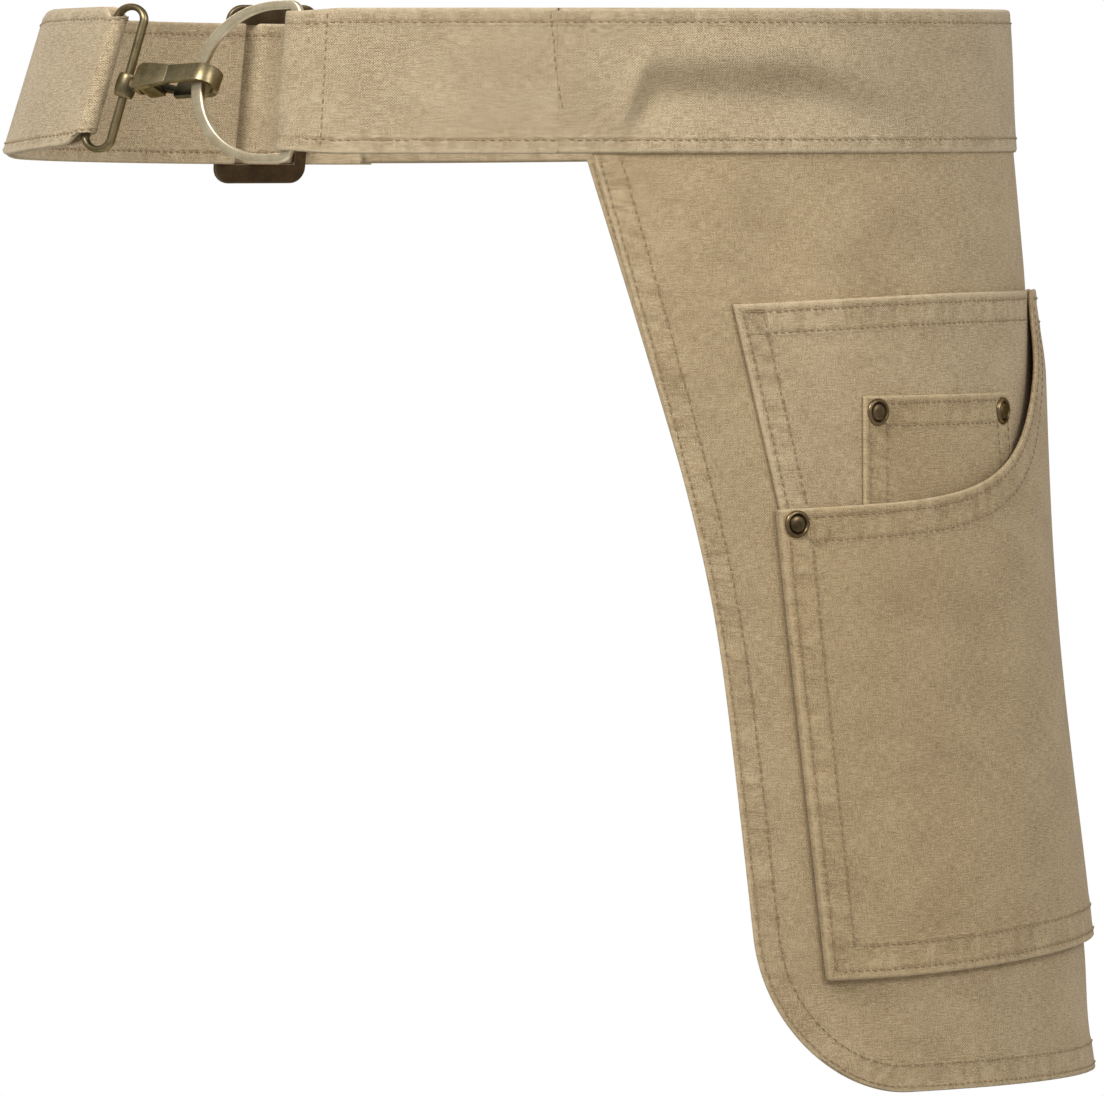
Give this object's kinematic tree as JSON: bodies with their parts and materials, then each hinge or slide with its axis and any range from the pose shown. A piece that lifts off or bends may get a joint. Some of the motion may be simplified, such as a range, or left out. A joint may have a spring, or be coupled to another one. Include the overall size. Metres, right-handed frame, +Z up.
{
  "type": "half waist apron",
  "caption": "Canvas half waist apron with a scooped front pocket and coin pocket, kept in its worn form, closed behind by a D-ring, a snap hook and an adjusting strap.",
  "frame": {"origin": "middle of the waist loop, half way up the waistband", "axes": "+X towards the wearer's front, -Y towards the side with the snap hook, +Z up along the body"},
  "size_m": [0.3949, 0.3224, 0.3855],
  "materials": {
    "canvas": "plain woven cotton canvas, matt",
    "band_canvas": "plain woven cotton canvas, matt",
    "strap_canvas": "plain woven cotton canvas, matt",
    "pale_brass": "light antique brass, satin",
    "antique_brass": "antique brass, worn on the edges",
    "dark_bronze": "dark bronze, satin"
  },
  "bodies": {
    "apron": {"waistband": "band_canvas", "ring_tab": "band_canvas", "apron_panel": "canvas", "pocket_backing": "canvas", "pocket_front": "canvas", "coin_pocket": "canvas", "strap": "strap_canvas", "slider": "dark_bronze", "d_ring": "pale_brass", "wire_loop": "antique_brass", "hook_body": "antique_brass", "gate_pin": "antique_brass", "swivel_eye": "antique_brass", "rivet_coin_rear": "antique_brass", "rivet_coin_front": "antique_brass", "rivet_pocket_near": "antique_brass", "rivet_pocket_far": "antique_brass"},
    "gate": {"hook_gate": "antique_brass"}
  },
  "joints": [
    {"name": "gate_hinge", "type": "hinge", "parent": "apron", "child": "gate", "pos_m": [-0.12489, -0.10166, -0.00225], "axis": [-0.2857, -0.4686, -0.8359], "range_deg": [0, 20], "stiffness_Nm_per_rad": 0.01, "springref_deg": -11.46}
  ]
}
